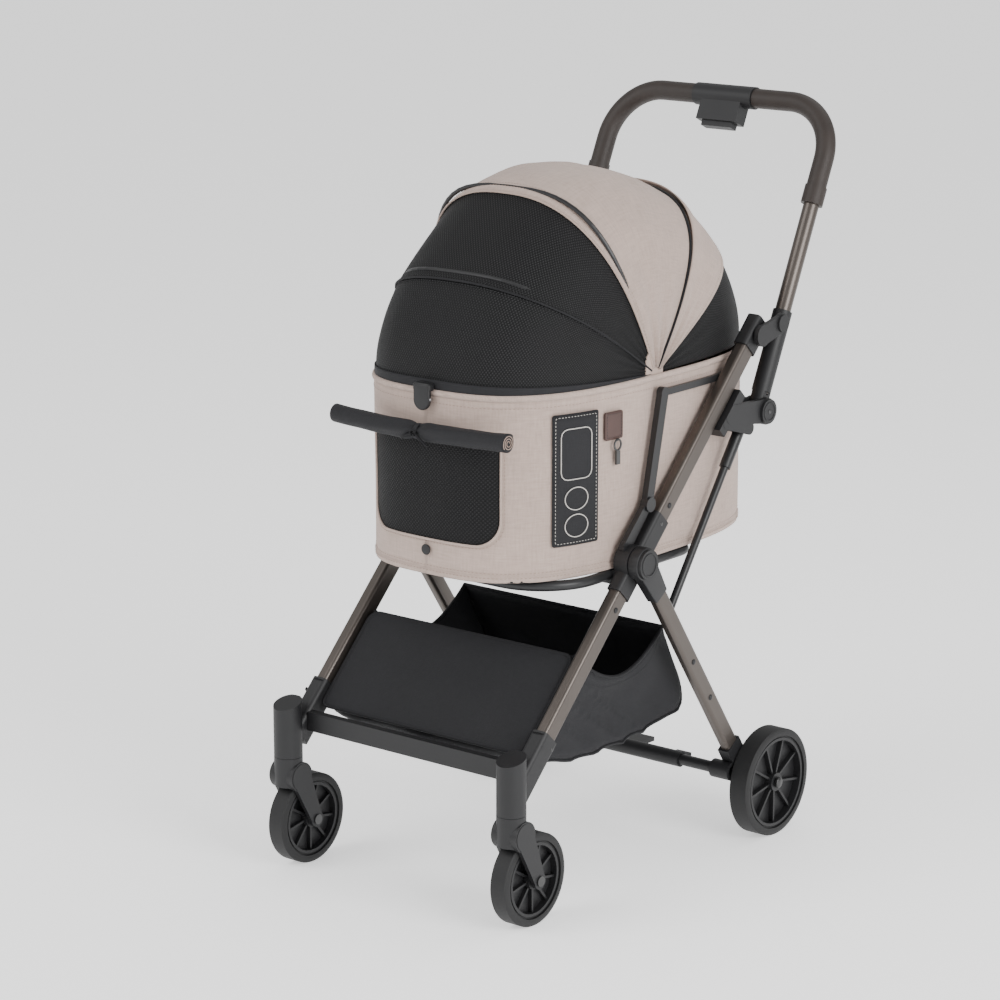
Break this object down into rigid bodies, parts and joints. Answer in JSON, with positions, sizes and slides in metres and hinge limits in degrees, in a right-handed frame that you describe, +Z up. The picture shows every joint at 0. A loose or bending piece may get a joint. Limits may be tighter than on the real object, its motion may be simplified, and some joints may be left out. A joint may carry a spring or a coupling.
{
  "type": "pet stroller",
  "caption": "Folding pet stroller with a lift-off fabric carrier, three-part canopy, crossed tube frame, swivel front wheels, storage basket and fold-down handle.",
  "frame": {"origin": "on the ground, in the middle of the stroller's footprint", "axes": "+Z up, +Y towards the rear (the front faces -Y), +X to the right as seen from the front; symmetric left to right except for the tether hook"},
  "size_m": [0.502, 0.772, 1.011],
  "materials": {
    "tube_paint": "satin metallic",
    "black_tube": "satin",
    "black_plastic": "matte",
    "rubber": "matte",
    "grip": "fine grain",
    "steel": "satin",
    "linen": "woven",
    "mesh": "open mesh",
    "dark_cloth": "woven"
  },
  "bodies": {
    "chassis": {"caster_housing_left": "black_plastic", "caster_housing_right": "black_plastic", "lower_leg_left": "tube_paint", "lower_leg_right": "tube_paint", "upper_leg_left": "tube_paint", "upper_leg_right": "tube_paint", "hub_bracket_left": "black_plastic", "hub_bracket_right": "black_plastic", "pivot_pins": "black_plastic", "top_brackets": "black_plastic", "side_arms": "black_tube", "carrier_rail": "black_tube", "rear_hoop": "black_tube", "front_crossbar": "black_plastic", "basket_panel": "dark_cloth", "storage_basket": "dark_cloth"},
    "brace_slider": {"brace_slider_left": "black_plastic", "brace_slider_right": "black_plastic"},
    "brace_rods": {"brace_rod_left": "black_tube", "brace_rod_right": "black_tube"},
    "handle": {"handle_sleeve_left": "black_plastic", "handle_sleeve_right": "black_plastic", "handle_tube": "tube_paint", "handle_grips": "grip", "handle_housing": "black_plastic"},
    "release_button": {"release_button": "black_plastic"},
    "rear_frame": {"rear_leg_left": "tube_paint", "rear_leg_right": "tube_paint", "rear_bracket_left": "black_plastic", "rear_bracket_right": "black_plastic", "rear_crossbar": "black_tube", "rear_axles": "steel"},
    "brake": {"brake_bar": "black_plastic"},
    "rear_wheel_left": {"rear_rim_left": "black_plastic", "rear_tyre_left": "rubber"},
    "rear_wheel_right": {"rear_rim_right": "black_plastic", "rear_tyre_right": "rubber"},
    "caster_left": {"caster_fork_left": "black_plastic", "front_axle_left": "steel"},
    "caster_right": {"caster_fork_right": "black_plastic", "front_axle_right": "steel"},
    "front_wheel_left": {"front_rim_left": "black_plastic", "front_tyre_left": "rubber"},
    "front_wheel_right": {"front_rim_right": "black_plastic", "front_tyre_right": "rubber"},
    "carrier": {"carrier_shell": "linen", "window_mesh": "mesh", "rim_hoop": "linen", "floor_board": "black_plastic", "floor_pad": "dark_cloth", "shade_roll": "dark_cloth", "canopy_main": "linen", "canopy_rear": "mesh", "canopy_bows": "black_tube"},
    "front_latch": {"front_latch": "black_plastic"},
    "canopy_mid": {"canopy_mid": "mesh", "mid_bow": "black_tube"},
    "canopy_front": {"canopy_front": "mesh", "front_bow": "black_tube"},
    "tether_hook": {"tether_hook": "steel"}
  },
  "joints": [
    {"name": "frame_fold", "type": "hinge", "parent": "chassis", "child": "rear_frame", "pos_m": [0, -0.10383, 0.44], "axis": [-1, 0, 0], "range_deg": [0, 52]},
    {"name": "brace_slide", "type": "slide", "parent": "chassis", "child": "brace_slider", "axis": [0, -0.6997, -0.7145], "range_m": [0, 0.09242]},
    {"name": "brace_swing", "type": "hinge", "parent": "brace_slider", "child": "brace_rods", "pos_m": [0, 0.14393, 0.579], "axis": [-1, 0, 0], "range_deg": [0, 11.16]},
    {"name": "handle_fold", "type": "hinge", "parent": "brace_slider", "child": "handle", "pos_m": [0, 0.18393, 0.596], "axis": [-1, 0, 0], "range_deg": [0, 140]},
    {"name": "button_press", "type": "slide", "parent": "handle", "child": "release_button", "axis": [0, 0.4226, 0.9063], "range_m": [0, 0.004], "stiffness_N_per_m": 400},
    {"name": "brake_tread", "type": "hinge", "parent": "rear_frame", "child": "brake", "pos_m": [0, 0.10034, 0.102], "axis": [-1, 0, 0], "range_deg": [0, 25]},
    {"name": "rear_roll_left", "type": "hinge", "parent": "rear_frame", "child": "rear_wheel_left", "pos_m": [-0.233, 0.16634, 0.076], "axis": [1, 0, 0], "continuous": true},
    {"name": "rear_roll_right", "type": "hinge", "parent": "rear_frame", "child": "rear_wheel_right", "pos_m": [0.233, 0.16634, 0.076], "axis": [1, 0, 0], "continuous": true},
    {"name": "swivel_left", "type": "hinge", "parent": "chassis", "child": "caster_left", "pos_m": [-0.193, -0.3575, 0.15], "axis": [0, 0, 1], "continuous": true},
    {"name": "swivel_right", "type": "hinge", "parent": "chassis", "child": "caster_right", "pos_m": [0.193, -0.3575, 0.15], "axis": [0, 0, 1], "continuous": true},
    {"name": "front_roll_left", "type": "hinge", "parent": "caster_left", "child": "front_wheel_left", "pos_m": [-0.193, -0.3235, 0.0625], "axis": [1, 0, 0], "continuous": true},
    {"name": "front_roll_right", "type": "hinge", "parent": "caster_right", "child": "front_wheel_right", "pos_m": [0.193, -0.3235, 0.0625], "axis": [1, 0, 0], "continuous": true},
    {"name": "carrier_lift", "type": "slide", "parent": "chassis", "child": "carrier", "axis": [0, 0, 1], "range_m": [0, 0.3]},
    {"name": "latch_flip", "type": "hinge", "parent": "carrier", "child": "front_latch", "pos_m": [0, -0.29983, 0.656], "axis": [1, 0, 0], "range_deg": [0, 50], "stiffness_Nm_per_rad": 0.1},
    {"name": "canopy_gather", "type": "hinge", "parent": "carrier", "child": "canopy_mid", "pos_m": [0, -0.03283, 0.681], "axis": [-1, 0, 0], "range_deg": [0, 31]},
    {"name": "canopy_open", "type": "hinge", "parent": "canopy_mid", "child": "canopy_front", "pos_m": [0, -0.03283, 0.681], "axis": [-1, 0, 0], "range_deg": [0, 31]},
    {"name": "hook_swing", "type": "hinge", "parent": "carrier", "child": "tether_hook", "pos_m": [0.1815, -0.11783, 0.598], "axis": [-1, 0, 0], "range_deg": [-80, 80]}
  ],
  "couplings": [
    {"joint": "brace_slide", "follows": "frame_fold", "m_per_rad": 0.1015},
    {"joint": "brace_swing", "follows": "frame_fold", "ratio": 0.21076},
    {"joint": "canopy_gather", "follows": "canopy_open", "ratio": 1}
  ]
}
